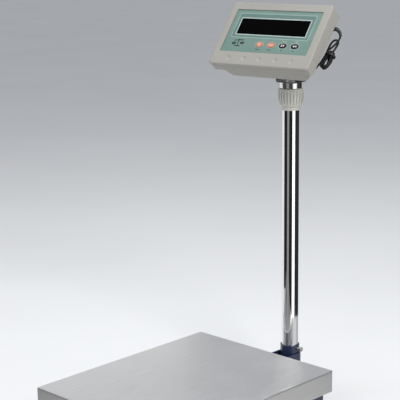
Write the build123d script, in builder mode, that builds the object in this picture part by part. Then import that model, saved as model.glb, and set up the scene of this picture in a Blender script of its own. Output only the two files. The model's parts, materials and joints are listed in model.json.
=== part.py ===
"""Electronic platform scale for small animals: levelled base frame, load cell, lift-off steel
pan, column in a clamped socket, and an indicator that swivels and tilts on top of the column.

Frame: millimetres, +Z up, floor at z = 0, the user stands on the -Y side, origin on the floor
under the middle of the whole scale.
"""
from build123d import *
import os
from math import atan, cos, pi, radians, sin, tan

# ---------------------------------------------------------------- driving dimensions
# weighing pan
PAN_W, PAN_D, PAN_SKIRT = 400.0, 500.0, 48.0
PAN_SHEET = 1.5
PAN_TOP_Z = 130.0
PAN_CORNER_R = 4.0
PAN_BEND_R = 2.5
PAD_T = 2.5

# square tube frames
BASE_W, BASE_D = 370.0, 464.0
BASE_TUBE, BASE_WALL = 40.0, 2.0
BASE_Z = 36.0
UPPER_W, UPPER_D = 340.0, 430.0
UPPER_TUBE, UPPER_WALL = 35.0, 2.0
UPPER_BEAM_W = 70.0

# single point load cell, its length along Y
CELL_L, CELL_W, CELL_H = 150.0, 40.0, 35.0
CELL_SEAT_L = 50.0
CELL_HOLE_PITCH = 25.0
CHANNEL_W, CHANNEL_H, CHANNEL_T = 84.0, 26.0, 4.0
CHANNEL_Z = 38.0
BASE_SPACER_T = 8.0

# column and its socket, behind the pan
COLUMN_GAP = 93.0
COLUMN_R, COLUMN_WALL = 19.0, 1.5
COLUMN_TOP_Z = 716.0
SOCKET_WALL = 3.0
SOCKET_Z = 36.0
SOCKET_TOP_Z = 122.0
SOCKET_FLOOR = 4.0
STRAP_T = 3.0
STRAP_TOP_Z = 103.0
FLANGE_W = 30.0
UPPER_SCREW_Z, LOWER_SCREW_Z = 115.0, 66.0
CLAMP_SEAT_X = 31.5
RUNNING_FIT = 0.05

# swivel joint on the column top
LIP_Z = 673.0
COLLAR_Z, COLLAR_H = 681.3, 39.9
COLLAR_R, COLLAR_FLUTES = 28.5, 24
HUB_Z, HUB_H, HUB_R = 721.8, 13.2, 24.5
YOKE_T = 2.5
YOKE_W, YOKE_D = 54.0, 40.0
PIVOT_Y, PIVOT_Z = -12.0, 785.0
PIVOT_R, PIVOT_BOLT_R, PIVOT_EYE_R = 13.0, 4.0, 11.0
WASHER_T, WASHER_GAP = 0.7, 0.8
KNOB_R, KNOB_HUB_R, KNOB_HUB_H, KNOB_H = 14.0, 9.0, 4.0, 12.0
HUB_SCREWS = [(0.0, -14.0), (14.0, 8.0), (-14.0, 8.0)]
CABLE_HOLE_R = 8.0
GROMMET_Y, GROMMET_Z = 2.0, 757.0

# indicator housing: x across, v up the face, n into the housing
YAW, TILT = 5.3, 38.5
FACE_Y, FACE_Z = -81.5, 846.7
HEAD_W, HEAD_H = 263.0, 163.0
FRONT_DEPTH, SHELL_GAP, HEAD_DEPTH = 8.0, 0.6, 57.0
RIM_TOP_DEPTH, RIM_LOW_DEPTH = 36.0, 28.0
HEAD_WALL = 2.5
HEAD_CORNER_R = 8.0
FACE_WALL = 4.0
OVERLAY_W, OVERLAY_H, OVERLAY_V = 228.0, 110.0, 7.4
OVERLAY_SINK, OVERLAY_T = 1.4, 0.4
WINDOW_W, WINDOW_H, WINDOW_X, WINDOW_V = 181.5, 40.5, 0.0, 19.3
KEY_W, KEY_H = 20.0, 13.0
KEY_X = [-17.0, 14.0, 45.0, 76.0]
KEY_V = -26.4
DIMPLE_PITCH, DIMPLE_V, DIMPLES = 41.5, -64.0, 5
DIMPLE_R, DIMPLE_DEPTH = 5.6, 1.6
SHELL_SCREWS = [(sx * 121.5, v) for sx in (-1, 1) for v in (-70.0, 70.0)]
# the tub behind the rim: half width, bottom and top at its front and at its rear
TUB_FRONT = (114.0, -78.5, 76.0)
TUB_REAR = (102.0, -76.5, 68.0)
BOARD_N = 25.6
BOARD_T = 1.6
STANDOFFS = [(sx * 78.0, v) for sx in (-1, 1) for v in (-4.0, 48.0)]
POWER_X, POWER_V = -78.0, 32.0
BRACKET_T, BRACKET_H = 2.5, 62.0
BRACKET_SCREW_X, BRACKET_SCREW_V = 13.0, 24.0

# signal cable
CABLE_D = 4.4
GLAND_V, GLAND_N = 52.0, 46.0
GLAND_X, GLAND_NUT = 111.5, 3.5
CABLE_OUT = [(119.5, 52.0, 46.0), (125.5, 52.0, 46.0), (130.5, 50.5, 49.5), (134.5, 46.5, 53.5),
             (136.3, 40.5, 57.0), (134.5, 32.5, 59.0), (129.8, 22.5, 60.0), (124.0, 14.0, 60.0),
             (118.5, 6.0, 59.5), (117.0, -4.0, 59.4)]
CABLE_BACK = [(125.0, -2.0, 64.2), (128.5, 9.0, 65.0), (130.0, 20.0, 66.0), (130.4, 29.2, 67.0),
              (126.5, 36.7, 68.0), (118.5, 39.3, 69.0), (111.0, 35.3, 70.5), (107.0, 26.8, 73.0),
              (103.4, 16.4, 77.1), (97.4, 6.0, 83.7), (88.4, -2.4, 92.3), (77.0, -9.8, 101.0),
              (65.0, -15.0, 109.5), (53.0, -17.6, 116.0), (41.0, -18.3, 120.0), (29.5, -18.2, 121.2)]
HANK_X, HANK_V, HANK_N = 126.0, -18.0, 60.5
HANK_L, HANK_W, HANK_T = 50.0, 26.0, 15.0
HANK_LEAN = 9.0

# feet
FOOT_INSET = 22.0
PAD_R, PAD_H = 23.0, 18.0
STUD_R = 5.0

# ---------------------------------------------------------------- worked out from these
SOCKET_R_IN = COLUMN_R + RUNNING_FIT
SOCKET_R = SOCKET_R_IN + SOCKET_WALL
STRAP_R = SOCKET_R + STRAP_T
SCALE_LENGTH = PAN_D + COLUMN_GAP + COLLAR_R
PAN_Y = -SCALE_LENGTH / 2 + PAN_D / 2
COLUMN_Y = PAN_Y + PAN_D / 2 + COLUMN_GAP
BASE_TOP_Z = BASE_Z + BASE_TUBE
BASE_REAR_Y = PAN_Y + BASE_D / 2
CELL_Z = CHANNEL_Z + CHANNEL_T + BASE_SPACER_T
PAN_UNDER_Z = PAN_TOP_Z - PAN_SHEET
UPPER_Z = PAN_UNDER_Z - PAD_T - UPPER_TUBE
FOOT_X = BASE_W / 2 - FOOT_INSET
FOOT_Y = BASE_D / 2 - FOOT_INSET
COLLAR_TOP_Z = COLLAR_Z + COLLAR_H
YOKE_Z = HUB_Z + HUB_H

HEAD_X_DIR = (cos(radians(YAW)), sin(radians(YAW)), 0)
AXIS = Plane(origin=(0, COLUMN_Y, 0), x_dir=HEAD_X_DIR, z_dir=(0, 0, 1))
AXIS_FRONT = Plane(origin=AXIS.origin, x_dir=AXIS.x_dir, z_dir=-AXIS.y_dir)
AXIS_SIDE = Plane(origin=AXIS.origin, x_dir=AXIS.y_dir, z_dir=AXIS.x_dir)
FACE_NORMAL = AXIS.y_dir * -cos(radians(TILT)) + AXIS.z_dir * sin(radians(TILT))
FACE = Plane(
    origin=AXIS.from_local_coords(Vector(0, FACE_Y, FACE_Z)), x_dir=AXIS.x_dir, z_dir=FACE_NORMAL
)
PIVOT = AXIS.from_local_coords(Vector(0, PIVOT_Y, PIVOT_Z))
PIVOT_IN_FACE = FACE.to_local_coords(PIVOT)
PIVOT_V, PIVOT_N = PIVOT_IN_FACE.Y, -PIVOT_IN_FACE.Z

os.makedirs("parts", exist_ok=True)


def write(name, builder):
    """Label one finished piece and write it under its own name."""
    builder.part.label = name
    export_step(builder.part, f"parts/{name}.step")


def along(direction):
    """An axis through the origin, for picking faces and edges by direction."""
    return Axis((0, 0, 0), direction)


def behind(n):
    """The plane parallel to the indicator's face, n into the housing."""
    return FACE.offset(-n)


def in_face(x, v, n):
    """A point given across, up and into the indicator's housing."""
    return FACE.from_local_coords(Vector(x, v, -n))


def across(x):
    """The plane square to the tilt axis at x: n into the housing, v up the face, normal +x."""
    return Plane(origin=in_face(x, 0, 0), x_dir=-FACE.z_dir, z_dir=FACE.x_dir)


def tube_along_y(width, height, wall, length, x, z):
    """A rectangular tube along Y, centred on the pan, as a solid of the running block."""
    with BuildSketch(Plane.XZ.offset(-PAN_Y - length / 2)) as section:
        with Locations((x, z + height / 2)):
            Rectangle(width, height)
            Rectangle(width - 2 * wall, height - 2 * wall, mode=Mode.SUBTRACT)
    extrude(section.sketch, amount=length)


def tube_along_x(size, wall, length, y, z):
    """A square tube along X, centred on x = 0, as a solid of the running block."""
    with BuildSketch(Plane.YZ.offset(-length / 2)) as section:
        with Locations((y, z + size / 2)):
            Rectangle(size, size)
            Rectangle(size - 2 * wall, size - 2 * wall, mode=Mode.SUBTRACT)
    extrude(section.sketch, amount=length)


def drill(plane, points, radius, depth):
    """Round holes from a plane, against its normal, into the running block."""
    with BuildSketch(plane) as holes:
        with Locations(*points):
            Circle(radius)
    extrude(holes.sketch, amount=-depth, mode=Mode.SUBTRACT)


def hex_bolt(plane, across_flats, head_h, shank_r, shank_l):
    """A hexagon bolt whose head stands on the plane and whose shank goes down through it."""
    with BuildPart(mode=Mode.PRIVATE) as bolt:
        with BuildSketch(plane):
            RegularPolygon(across_flats / 2, 6, major_radius=False)
        extrude(amount=head_h)
        chamfer(bolt.faces().sort_by(along(plane.z_dir))[-1].edges(), 0.6)
        with BuildSketch(plane):
            Circle(shank_r)
        extrude(amount=-shank_l)
    return bolt.part


def pan_screw(plane, head_r, head_h, shank_r, shank_l):
    """A pan head screw with a cross recess, its head standing on the plane."""
    with BuildPart(mode=Mode.PRIVATE) as screw:
        with BuildSketch(plane):
            Circle(head_r)
        extrude(amount=head_h)
        fillet(screw.faces().sort_by(along(plane.z_dir))[-1].edges(), head_h * 0.45)
        with BuildSketch(plane.offset(head_h)):
            Rectangle(head_r * 1.1, head_r * 0.26)
            Rectangle(head_r * 0.26, head_r * 1.1)
        extrude(amount=-head_h * 0.5, mode=Mode.SUBTRACT)
        with BuildSketch(plane):
            Circle(shank_r)
        extrude(amount=-shank_l)
    return screw.part


def group(name, pieces):
    """Write several separate identical pieces as one node."""
    with BuildPart() as several:
        for piece in pieces:
            add(piece)
    write(name, several)


# ---------------------------------------------------------------- weighing pan
def make_pan():
    with BuildPart() as pan:
        with BuildSketch(Plane.XY.offset(PAN_TOP_Z)):
            with Locations((0, PAN_Y)):
                RectangleRounded(PAN_W, PAN_D, PAN_CORNER_R)
        extrude(amount=-PAN_SKIRT)
        fillet(pan.faces().sort_by(Axis.Z)[-1].edges(), PAN_BEND_R)
        with BuildSketch(Plane.XY.offset(PAN_TOP_Z - PAN_SHEET)):
            with Locations((0, PAN_Y)):
                RectangleRounded(PAN_W - 2 * PAN_SHEET, PAN_D - 2 * PAN_SHEET, PAN_CORNER_R - PAN_SHEET)
        extrude(amount=PAN_SHEET - PAN_SKIRT, mode=Mode.SUBTRACT)
    write("pan", pan)

    pad_x = UPPER_W / 2 - UPPER_TUBE / 2
    pad_y = UPPER_D / 2 - 40
    with BuildPart() as pads:
        with BuildSketch(Plane.XY.offset(PAN_UNDER_Z - PAD_T)):
            with Locations((0, PAN_Y)):
                with GridLocations(2 * pad_x, 2 * pad_y, 2, 2):
                    RectangleRounded(26, 50, 4)
        extrude(amount=PAD_T)
    write("pan_pads", pads)


# ---------------------------------------------------------------- upper frame on the cell
def cell_points(sign):
    """The two bolt places at one end of the load cell; sign +1 is the free end."""
    outer = CELL_L / 2 - 12.5
    return [(0, PAN_Y + sign * outer), (0, PAN_Y + sign * (outer - CELL_HOLE_PITCH))]


def make_upper_frame():
    rail_x = (UPPER_W - UPPER_TUBE) / 2
    bar_y = (UPPER_D - UPPER_TUBE) / 2
    with BuildPart() as frame:
        for x in (-rail_x, rail_x):
            tube_along_y(UPPER_TUBE, UPPER_TUBE, UPPER_WALL, UPPER_D, x, UPPER_Z)
        for y in (PAN_Y - bar_y, PAN_Y + bar_y):
            tube_along_x(UPPER_TUBE, UPPER_WALL, UPPER_W - 2 * UPPER_TUBE, y, UPPER_Z)
        beam_l = UPPER_D - 2 * UPPER_TUBE
        tube_along_y(UPPER_BEAM_W, UPPER_TUBE, UPPER_WALL, beam_l, 0, UPPER_Z)
        drill(Plane.XY.offset(UPPER_Z + UPPER_TUBE), cell_points(1), 8, UPPER_WALL)
        drill(Plane.XY.offset(UPPER_Z + UPPER_WALL), cell_points(1), 4.2, UPPER_WALL)
    write("upper_frame", frame)

    with BuildPart() as caps:
        for side in (-1, 1):
            with BuildSketch(Plane.XZ.offset(-PAN_Y + side * UPPER_D / 2)):
                with GridLocations(2 * rail_x, 0, 2, 1):
                    with Locations((0, UPPER_Z + UPPER_TUBE / 2)):
                        RectangleRounded(UPPER_TUBE, UPPER_TUBE, 2)
            extrude(amount=side * 2.5)
    write("upper_frame_caps", caps)

    with BuildPart() as spacer:
        with BuildSketch(Plane.XY.offset(CELL_Z + CELL_H)):
            with Locations((0, PAN_Y + CELL_L / 2 - CELL_SEAT_L / 2)):
                Rectangle(CELL_W, CELL_SEAT_L)
        extrude(amount=UPPER_Z - CELL_Z - CELL_H)
        drill(Plane.XY.offset(UPPER_Z), cell_points(1), 4.2, 20)
    write("cell_top_spacer", spacer)

    seat = UPPER_Z + UPPER_WALL
    places = cell_points(1)
    group("cell_top_bolts", [hex_bolt(Plane((x, y, seat)), 13, 6, 4, 26) for x, y in places])


# ---------------------------------------------------------------- load cell
def make_load_cell():
    with BuildPart() as cell:
        with Locations((0, PAN_Y, CELL_Z + CELL_H / 2)):
            Box(CELL_W, CELL_L, CELL_H)
        with BuildSketch(Plane.YZ.offset(CELL_W / 2)):
            with Locations((PAN_Y - 14, CELL_Z + CELL_H / 2), (PAN_Y + 14, CELL_Z + CELL_H / 2)):
                Circle(12)
            with Locations((PAN_Y, CELL_Z + CELL_H / 2)):
                Rectangle(28, 8)
        extrude(amount=-CELL_W, mode=Mode.SUBTRACT)
        drill(Plane.XY.offset(CELL_Z + CELL_H), cell_points(1), 4.08, 22)
        drill(Plane.XY.offset(CELL_Z + 20), cell_points(-1), 4.08, 20)
    write("load_cell", cell)

    with BuildPart() as spacer:
        with BuildSketch(Plane.XY.offset(CELL_Z)):
            with Locations((0, PAN_Y - CELL_L / 2 + CELL_SEAT_L / 2)):
                Rectangle(CELL_W, CELL_SEAT_L)
        extrude(amount=-BASE_SPACER_T)
        drill(Plane.XY.offset(CELL_Z), cell_points(-1), 4.2, BASE_SPACER_T)
    write("cell_base_spacer", spacer)

    under = [Plane((x, y, CHANNEL_Z), z_dir=(0, 0, -1)) for x, y in cell_points(-1)]
    group("cell_base_bolts", [hex_bolt(plane, 13, 5, 4, 30) for plane in under])


# ---------------------------------------------------------------- base frame
def flange_points():
    """Bolt places on the rear crossbar, as x and z."""
    x = STRAP_R + FLANGE_W / 2 + 2
    return [(side * x, z) for side in (-1, 1) for z in (BASE_Z + 12, BASE_Z + 28)]


def make_base():
    rail_x = (BASE_W - BASE_TUBE) / 2
    bar_y = (BASE_D - BASE_TUBE) / 2
    feet = [(sx * FOOT_X, PAN_Y + sy * FOOT_Y) for sx in (-1, 1) for sy in (-1, 1)]
    stops = [(sx * 60, PAN_Y + sy * bar_y) for sx in (-1, 1) for sy in (-1, 1)]
    with BuildPart() as frame:
        for x in (-rail_x, rail_x):
            tube_along_y(BASE_TUBE, BASE_TUBE, BASE_WALL, BASE_D, x, BASE_Z)
        for y in (PAN_Y - bar_y, PAN_Y + bar_y):
            tube_along_x(BASE_TUBE, BASE_WALL, BASE_W - 2 * BASE_TUBE, y, BASE_Z)
        with BuildSketch(Plane.XZ.offset(-PAN_Y - BASE_D / 2 + BASE_TUBE)):
            with Locations((0, CHANNEL_Z + CHANNEL_H / 2)):
                Rectangle(CHANNEL_W, CHANNEL_H)
            with Locations((0, CHANNEL_Z + CHANNEL_T + CHANNEL_H / 2)):
                Rectangle(CHANNEL_W - 2 * CHANNEL_T, CHANNEL_H, mode=Mode.SUBTRACT)
        extrude(amount=BASE_D - 2 * BASE_TUBE)
        drill(Plane.XY.offset(CHANNEL_Z + CHANNEL_T), cell_points(-1), 4.2, CHANNEL_T)
        drill(Plane.XY.offset(BASE_Z + BASE_WALL), feet, STUD_R + 0.3, BASE_WALL)
        drill(Plane.XY.offset(BASE_TOP_Z), stops, 4.0, BASE_WALL)
        drill(Plane.XZ.offset(BASE_WALL - BASE_REAR_Y), flange_points(), 4.2, BASE_WALL)
    write("base_frame", frame)

    with BuildPart() as caps:
        for side in (-1, 1):
            with BuildSketch(Plane.XZ.offset(-PAN_Y + side * BASE_D / 2)):
                with Locations((-rail_x, BASE_Z + BASE_TUBE / 2), (rail_x, BASE_Z + BASE_TUBE / 2)):
                    RectangleRounded(BASE_TUBE, BASE_TUBE, 3)
            extrude(amount=side * 3)
    write("base_frame_caps", caps)

    gap = UPPER_Z - BASE_TOP_Z - 1.2
    screws = [hex_bolt(Plane((x, y, BASE_TOP_Z + gap - 5.3)), 13, 5.3, 4, 24) for x, y in stops]
    group("stop_screws", screws)
    with BuildPart() as nuts:
        with BuildSketch(Plane.XY.offset(BASE_TOP_Z)):
            for x, y in stops:
                with Locations((x, y)):
                    RegularPolygon(6.5, 6, major_radius=False)
                    Circle(4.05, mode=Mode.SUBTRACT)
        extrude(amount=5)
    write("stop_nuts", nuts)
    return feet


def make_feet(places):
    nut_z = BASE_Z - 8
    for number, (x, y) in enumerate(places, 1):
        with BuildPart() as pad:
            with BuildSketch(Plane.XZ.offset(-y)):
                with BuildLine():
                    Polyline((x, 6.5), (x, 0), (x + PAD_R - 1.5, 0), (x + PAD_R, 1.5), (x + PAD_R, 6))
                    Line((x + PAD_R, 6), (x + 14, PAD_H - 2))
                    Polyline((x + 14, PAD_H - 2), (x + 12, PAD_H), (x + STUD_R + 0.02, PAD_H))
                    Polyline((x + STUD_R + 0.02, PAD_H), (x + STUD_R + 0.02, 6.5), (x, 6.5))
                make_face()
            revolve(axis=Axis((x, y, 0), (0, 0, 1)))
        write(f"foot_pad_{number}", pad)
        with BuildPart() as stud:
            with BuildSketch(Plane((x, y, 6.5))):
                Circle(STUD_R)
            extrude(amount=BASE_TOP_Z - 12 - 6.5)
            chamfer(stud.edges().sort_by(Axis.Z)[-1], 1)
            with BuildSketch(Plane((x, y, PAD_H))):
                RegularPolygon(8.5, 6, major_radius=False)
            extrude(amount=5)
        write(f"foot_stud_{number}", stud)
    with BuildPart() as nuts:
        with BuildSketch(Plane.XY.offset(nut_z)):
            for x, y in places:
                with Locations((x, y)):
                    RegularPolygon(8.5, 6, major_radius=False)
                    Circle(STUD_R + RUNNING_FIT, mode=Mode.SUBTRACT)
        extrude(amount=8)
    write("foot_locknuts", nuts)


# ---------------------------------------------------------------- column socket
def make_socket():
    arm_l = COLUMN_Y - BASE_REAR_Y
    flange_x = STRAP_R + FLANGE_W / 2 - STRAP_T / 2
    with BuildPart() as socket:
        # the strap: half a ring round the sleeve and two arms forward to the crossbar
        with BuildSketch(Plane.XY.offset(BASE_Z + 2)):
            with Locations((0, COLUMN_Y)):
                Circle(STRAP_R)
            with Locations((0, COLUMN_Y - arm_l / 2)):
                Rectangle(2 * STRAP_R, arm_l)
                Rectangle(2 * SOCKET_R, arm_l, mode=Mode.SUBTRACT)
            with Locations((0, COLUMN_Y)):
                Circle(SOCKET_R, mode=Mode.SUBTRACT)
        extrude(amount=STRAP_TOP_Z - BASE_Z - 2)
        with BuildSketch(Plane.YZ.offset(STRAP_R)):
            with BuildLine():
                Polyline(
                    (BASE_REAR_Y - 1, BASE_TOP_Z - 2), (BASE_REAR_Y + 24, BASE_TOP_Z - 2),
                    (COLUMN_Y - 40, STRAP_TOP_Z), (COLUMN_Y - 40, STRAP_TOP_Z + 5),
                    (BASE_REAR_Y - 1, STRAP_TOP_Z + 5), close=True,
                )
            make_face()
        extrude(amount=-2 * STRAP_R, mode=Mode.SUBTRACT)
        # flanges against the crossbar
        with BuildSketch(Plane.XZ.offset(-BASE_REAR_Y)):
            with Locations((-flange_x, BASE_Z + BASE_TUBE / 2), (flange_x, BASE_Z + BASE_TUBE / 2)):
                Rectangle(FLANGE_W + STRAP_T, BASE_TUBE - 4)
        extrude(amount=-STRAP_T)
        # the sleeve and its floor
        with BuildSketch(Plane.XY.offset(SOCKET_Z)):
            with Locations((0, COLUMN_Y)):
                Circle(SOCKET_R)
        extrude(amount=SOCKET_TOP_Z - SOCKET_Z)
        with BuildSketch(Plane.XY.offset(SOCKET_TOP_Z)):
            with Locations((0, COLUMN_Y)):
                Circle(SOCKET_R_IN)
        extrude(amount=SOCKET_Z + SOCKET_FLOOR - SOCKET_TOP_Z, mode=Mode.SUBTRACT)
        drill(Plane.XY.offset(SOCKET_Z + SOCKET_FLOOR), [(0, COLUMN_Y)], 8, SOCKET_FLOOR)
        drill(Plane.XZ.offset(-BASE_REAR_Y), flange_points(), 4.2, STRAP_T)
        # a cross tie that stiffens the two arms
        with BuildSketch(Plane.XZ.offset(-BASE_REAR_Y - 45)):
            with Locations((0, BASE_Z + 22)):
                Rectangle(2 * SOCKET_R, 30)
        extrude(amount=-STRAP_T)
        screw_places = [(COLUMN_Y, UPPER_SCREW_Z), (COLUMN_Y, LOWER_SCREW_Z)]
        drill(Plane.YZ.offset(STRAP_R + 1), screw_places, 3 + RUNNING_FIT, STRAP_R - 10)
    write("column_socket", socket)

    rear = [Plane((x, BASE_REAR_Y + STRAP_T, z), z_dir=(0, 1, 0)) for x, z in flange_points()]
    group("socket_bolts", [hex_bolt(plane, 13, 5.3, 4, 16) for plane in rear])


def make_clamp_screw(name, z):
    """A hexagon screw through the sleeve wall that presses on the column."""
    tip = COLUMN_R + 0.3
    with BuildPart() as screw:
        add(hex_bolt(Plane((CLAMP_SEAT_X, COLUMN_Y, z), z_dir=(1, 0, 0)), 10, 4.2, 3, CLAMP_SEAT_X - tip))
    write(name, screw)


# ---------------------------------------------------------------- column
def make_column():
    with BuildPart() as tube:
        with BuildSketch(Plane.XY.offset(SOCKET_Z + SOCKET_FLOOR)):
            with Locations((0, COLUMN_Y)):
                Circle(COLUMN_R)
                Circle(COLUMN_R - COLUMN_WALL, mode=Mode.SUBTRACT)
        extrude(amount=COLUMN_TOP_Z - SOCKET_Z - SOCKET_FLOOR)
    write("column_tube", tube)

    inner = COLUMN_R + 0.02
    with BuildPart() as bush:
        with BuildSketch(AXIS_SIDE):
            with BuildLine():
                Polyline(
                    (inner, LIP_Z), (20.4, LIP_Z), (21.4, LIP_Z + 1), (21.4, COLLAR_Z - 0.5),
                    (20.5, COLLAR_Z - 0.5), (20.5, COLUMN_TOP_Z), (23.3, COLUMN_TOP_Z), (23.3, HUB_Z),
                    (COLUMN_R - COLUMN_WALL, HUB_Z), (COLUMN_R - COLUMN_WALL, COLUMN_TOP_Z),
                    (inner, COLUMN_TOP_Z), close=True,
                )
            make_face()
        revolve(axis=Axis(AXIS.origin, (0, 0, 1)))
    write("column_bush", bush)

    with BuildPart() as collar:
        with BuildSketch(AXIS_SIDE):
            with BuildLine():
                Polyline((20.9, COLLAR_Z), (22.2, COLLAR_Z), (23.8, COLLAR_Z + 1.6), (24.4, COLLAR_Z + 4))
                ThreePointArc((24.4, COLLAR_Z + 4), (27.5, COLLAR_Z + 13), (COLLAR_R, COLLAR_Z + 24))
                Polyline(
                    (COLLAR_R, COLLAR_Z + 24), (COLLAR_R, COLLAR_TOP_Z - 1),
                    (COLLAR_R - 1, COLLAR_TOP_Z), (23.8, COLLAR_TOP_Z), (23.8, COLUMN_TOP_Z - 3),
                    (20.9, COLUMN_TOP_Z - 3), (20.9, COLLAR_Z),
                )
            make_face()
        revolve(axis=Axis(AXIS.origin, (0, 0, 1)))
        # finger flutes, deepest where the collar swells
        centre = Axis(AXIS.origin, (0, 0, 1))
        with BuildPart(mode=Mode.PRIVATE) as cutter:
            with BuildSketch(Plane((0, COLUMN_Y - 25.5, COLLAR_Z + 4.5))):
                Circle(1.6)
            with BuildSketch(Plane((0, COLUMN_Y - 29.4, COLLAR_TOP_Z + 1))):
                Circle(2.1)
            loft()
        for turn in range(COLLAR_FLUTES):
            add(cutter.part.rotate(centre, (turn + 0.5) * 360 / COLLAR_FLUTES), mode=Mode.SUBTRACT)
    write("clamp_collar", collar)


# ---------------------------------------------------------------- swivel hub and tilting yoke
def make_yoke():
    with BuildPart() as hub:
        with BuildSketch(AXIS.offset(HUB_Z)):
            Circle(HUB_R)
        extrude(amount=HUB_H)
        fillet(hub.edges().sort_by(Axis.Z)[0], 1.5)
        with BuildSketch(AXIS.offset(HUB_Z)):
            Circle(COLUMN_R - COLUMN_WALL - RUNNING_FIT)
        extrude(amount=-30)
        drill(AXIS.offset(YOKE_Z), [(0, 0)], CABLE_HOLE_R, 60)
        drill(AXIS.offset(YOKE_Z), HUB_SCREWS, 1.6, 10)
    write("swivel_hub", hub)

    half = YOKE_W / 2
    base_half = YOKE_D / 2
    arm_top = PIVOT_Z + PIVOT_R
    with BuildPart() as yoke:
        with BuildSketch(AXIS_FRONT.offset(-YOKE_D)):
            with Locations((0, (YOKE_Z + arm_top) / 2)):
                Rectangle(YOKE_W, arm_top - YOKE_Z)
        extrude(amount=2 * YOKE_D)
        fillet(yoke.edges().filter_by(along(AXIS.y_dir)).group_by(Axis.Z)[0], YOKE_T + 2)
        with BuildSketch(AXIS_FRONT.offset(-YOKE_D - 1)):
            with Locations((0, (YOKE_Z + YOKE_T + arm_top + 10) / 2)):
                RectangleRounded(YOKE_W - 2 * YOKE_T, arm_top + 10 - YOKE_Z - YOKE_T, 2)
        extrude(amount=2 * YOKE_D + 2, mode=Mode.SUBTRACT)
        # seen from the side: a base as deep as the hub, arms that taper up to the pivot
        with BuildSketch(AXIS_SIDE.offset(-half - 1)):
            with Locations((PIVOT_Y, PIVOT_Z)):
                Circle(PIVOT_R)
            with BuildLine():
                Polyline(
                    (-base_half, YOKE_Z), (base_half, YOKE_Z), (base_half, YOKE_Z + 5),
                    (PIVOT_Y + PIVOT_R, PIVOT_Z), (PIVOT_Y - PIVOT_R, PIVOT_Z),
                    (-base_half, YOKE_Z + 14), close=True,
                )
            make_face()
        extrude(amount=YOKE_W + 2, mode=Mode.INTERSECT)
        drill(AXIS_SIDE.offset(half + 1), [(PIVOT_Y, PIVOT_Z)], PIVOT_BOLT_R + RUNNING_FIT, YOKE_W + 2)
        drill(AXIS_SIDE.offset(half + 1), [(GROMMET_Y, GROMMET_Z)], 4.0, YOKE_T + 2)
        drill(AXIS.offset(YOKE_Z + YOKE_T), [(0, 0)], CABLE_HOLE_R, YOKE_T)
        drill(AXIS.offset(YOKE_Z + YOKE_T), HUB_SCREWS, 2.1, YOKE_T)
    write("yoke", yoke)

    seat_height = YOKE_Z + YOKE_T
    seats = [Plane(AXIS.from_local_coords(Vector(x, y, seat_height)), x_dir=AXIS.x_dir) for x, y in HUB_SCREWS]
    group("hub_screws", [pan_screw(seat, 3.8, 2.6, 1.5, 12) for seat in seats])


def make_grommet():
    """A rubber grommet in the yoke's right arm: a flange each side and a waist between."""
    arm = YOKE_W / 2
    flange_r, flange_t, waist_r = 5.4, 1.5, 3.95
    with BuildPart() as grommet:
        with BuildSketch(AXIS_SIDE.offset(arm - YOKE_T - RUNNING_FIT)):
            with Locations((GROMMET_Y, GROMMET_Z)):
                Circle(flange_r)
        extrude(amount=-flange_t)
        with BuildSketch(AXIS_SIDE.offset(arm - YOKE_T - RUNNING_FIT)):
            with Locations((GROMMET_Y, GROMMET_Z)):
                Circle(waist_r)
        extrude(amount=YOKE_T + 2 * RUNNING_FIT)
        with BuildSketch(AXIS_SIDE.offset(arm + RUNNING_FIT)):
            with Locations((GROMMET_Y, GROMMET_Z)):
                Circle(flange_r)
        extrude(amount=flange_t)
        drill(AXIS_SIDE.offset(arm + 3), [(GROMMET_Y, GROMMET_Z)], CABLE_D / 2 + 0.1, 10)
    write("cable_grommet", grommet)


def make_pivot():
    """Tilt bolt, friction washers inside the arms, and the lock knob on the bolt's thread."""
    half = YOKE_W / 2
    with BuildPart() as bolt:
        bolt_plane = Plane(
            AXIS.from_local_coords(Vector(-half, PIVOT_Y, PIVOT_Z)), x_dir=AXIS.y_dir, z_dir=-AXIS.x_dir
        )
        add(hex_bolt(bolt_plane, 13, 5.3, PIVOT_BOLT_R, YOKE_W + 14))
    write("tilt_bolt", bolt)
    with BuildPart() as washers:
        for x in (-half + YOKE_T, half - YOKE_T - WASHER_T):
            with BuildSketch(AXIS_SIDE.offset(x)):
                with Locations((PIVOT_Y, PIVOT_Z)):
                    Circle(PIVOT_EYE_R)
                    Circle(PIVOT_BOLT_R + RUNNING_FIT, mode=Mode.SUBTRACT)
            extrude(amount=WASHER_T)
    write("friction_washers", washers)
    hub_front = half + 0.4
    with BuildPart() as knob:
        with BuildSketch(AXIS_SIDE.offset(hub_front)):
            with Locations((PIVOT_Y, PIVOT_Z)):
                Circle(KNOB_HUB_R)
        extrude(amount=KNOB_HUB_H)
        with BuildSketch(AXIS_SIDE.offset(hub_front + KNOB_HUB_H)):
            with Locations((PIVOT_Y, PIVOT_Z)):
                Circle(KNOB_R)
                with PolarLocations(KNOB_R, 6):
                    Circle(3.2, mode=Mode.SUBTRACT)
        extrude(amount=KNOB_H)
        fillet(knob.faces().sort_by(along(AXIS.x_dir))[-1].edges(), 1.5)
        drill(AXIS_SIDE.offset(half), [(PIVOT_Y, PIVOT_Z)], PIVOT_BOLT_R + RUNNING_FIT, -14.5)
    write("tilt_knob", knob)


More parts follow.
